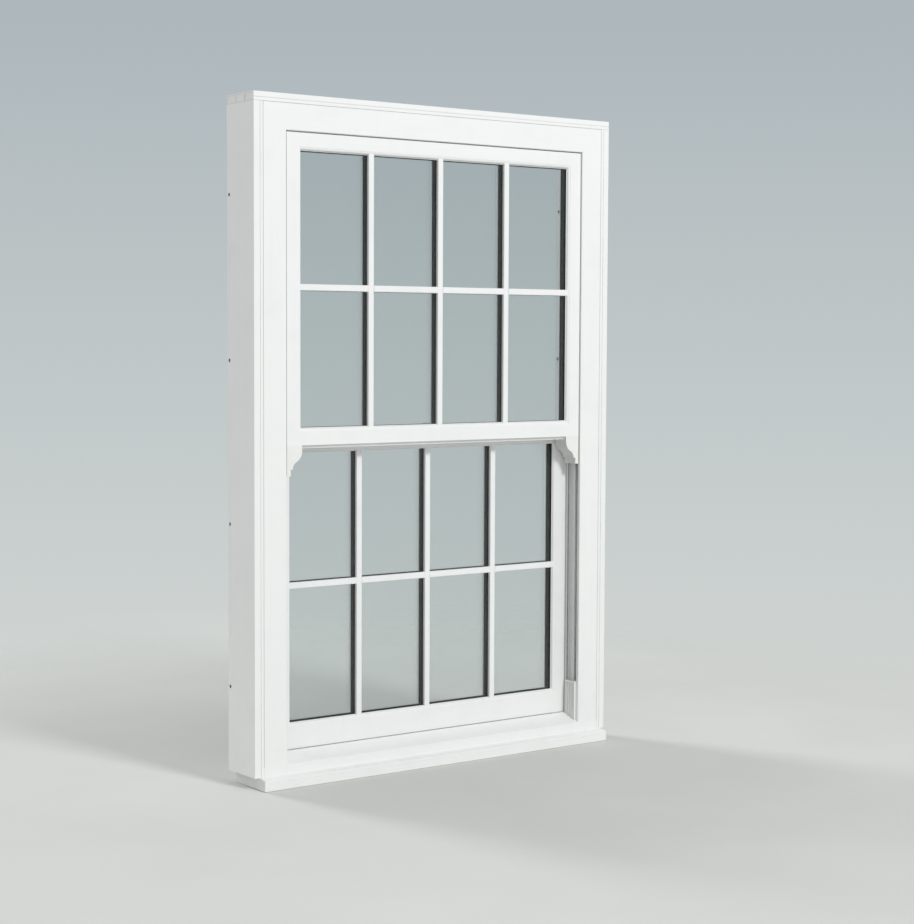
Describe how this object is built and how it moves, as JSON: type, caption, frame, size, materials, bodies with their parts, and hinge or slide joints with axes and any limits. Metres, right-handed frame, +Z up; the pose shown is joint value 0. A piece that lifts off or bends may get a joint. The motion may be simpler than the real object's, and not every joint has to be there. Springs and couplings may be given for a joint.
{
  "type": "sash window",
  "caption": "Vertical sliding sash window with frame and sill: double-glazed sashes with planted bars, horns, spiral balances, tilt latches and cam fastener",
  "frame": {"origin": "under the middle of the bounding box, in the plane of the sill's underside", "axes": "+X to the right seen from outside, +Y into the room, +Z up"},
  "size_m": [1.155, 0.163, 1.76],
  "materials": {
    "white_upvc": "smooth satin extrusion",
    "glass": "polished float glass",
    "spacer_black": "matt",
    "gasket": "matt",
    "nylon": "moulded",
    "white_moulding": "moulded",
    "white_metal": "powder coated",
    "aluminium": "mill",
    "steel": "galvanised",
    "pile": "woven pile"
  },
  "bodies": {
    "frame": {"jamb_left": "white_upvc", "jamb_right": "white_upvc", "head": "white_upvc", "frame_bottom": "white_upvc", "sill": "white_upvc", "sill_end_caps": "white_moulding", "extension_left": "white_upvc", "extension_right": "white_upvc", "extension_head": "white_upvc", "stop_blocks": "white_moulding", "track_stops": "white_moulding", "balance_tubes": "aluminium", "frame_screws": "steel", "frame_steels": "steel", "frame_brush_seals": "pile"},
    "upper_sash": {"upper_stile_left": "white_upvc", "upper_stile_right": "white_upvc", "upper_top_rail": "white_upvc", "upper_meeting_rail": "white_upvc", "upper_panes": "glass", "upper_spacer": "spacer_black", "upper_gaskets": "gasket", "upper_setting_blocks": "nylon", "upper_glazing_bars": "white_upvc", "upper_beads": "white_upvc", "horns": "white_moulding", "upper_interlock": "white_upvc", "keeper": "white_metal", "keeper_screws": "steel", "upper_pivot_bars": "steel", "upper_balance_shoes": "nylon", "upper_balance_rods": "steel", "upper_steels": "steel", "upper_latch_cases": "white_moulding"},
    "upper_latch_left": {"upper_latch_bolt_left": "white_moulding"},
    "upper_latch_right": {"upper_latch_bolt_right": "white_moulding"},
    "lower_carriage": {"lower_balance_shoes": "nylon", "lower_balance_rods": "steel"},
    "lower_sash": {"lower_stile_left": "white_upvc", "lower_stile_right": "white_upvc", "lower_top_rail": "white_upvc", "lower_bottom_rail": "white_upvc", "lower_panes": "glass", "lower_spacer": "spacer_black", "lower_gaskets": "gasket", "lower_setting_blocks": "nylon", "lower_glazing_bars": "white_upvc", "lower_beads": "white_upvc", "lower_interlock": "white_upvc", "lower_bottom_brush": "pile", "lower_pivot_bars": "steel", "lower_end_blocks": "nylon", "lower_steels": "steel", "lower_latch_cases": "white_moulding", "fastener_base": "white_metal", "sash_lifts": "white_metal", "lower_sash_screws": "steel"},
    "lower_latch_left": {"lower_latch_bolt_left": "white_moulding"},
    "lower_latch_right": {"lower_latch_bolt_right": "white_moulding"},
    "fastener_turn": {"fastener_lever": "white_metal"}
  },
  "joints": [
    {"name": "upper_slide", "type": "slide", "parent": "frame", "child": "upper_sash", "axis": [0, 0, -1], "range_m": [0, 0.6235]},
    {"name": "lower_slide", "type": "slide", "parent": "frame", "child": "lower_carriage", "axis": [0, 0, 1], "range_m": [0, 0.65]},
    {"name": "lower_tilt", "type": "hinge", "parent": "lower_carriage", "child": "lower_sash", "pos_m": [0, 0.045, 0.097], "axis": [-1, 0, 0], "range_deg": [0, 90]},
    {"name": "upper_latch_left_slide", "type": "slide", "parent": "upper_sash", "child": "upper_latch_left", "axis": [1, 0, 0], "range_m": [0, 0.014], "stiffness_N_per_m": 250, "springref_m": -0.006},
    {"name": "upper_latch_right_slide", "type": "slide", "parent": "upper_sash", "child": "upper_latch_right", "axis": [-1, 0, 0], "range_m": [0, 0.014], "stiffness_N_per_m": 250, "springref_m": -0.006},
    {"name": "lower_latch_left_slide", "type": "slide", "parent": "lower_sash", "child": "lower_latch_left", "axis": [1, 0, 0], "range_m": [0, 0.014], "stiffness_N_per_m": 250, "springref_m": -0.006},
    {"name": "lower_latch_right_slide", "type": "slide", "parent": "lower_sash", "child": "lower_latch_right", "axis": [-1, 0, 0], "range_m": [0, 0.014], "stiffness_N_per_m": 250, "springref_m": -0.006},
    {"name": "fastener_lever_turn", "type": "hinge", "parent": "lower_sash", "child": "fastener_turn", "pos_m": [0, 0.0285, 0.909], "axis": [0, 0, 1], "range_deg": [0, 180]}
  ]
}
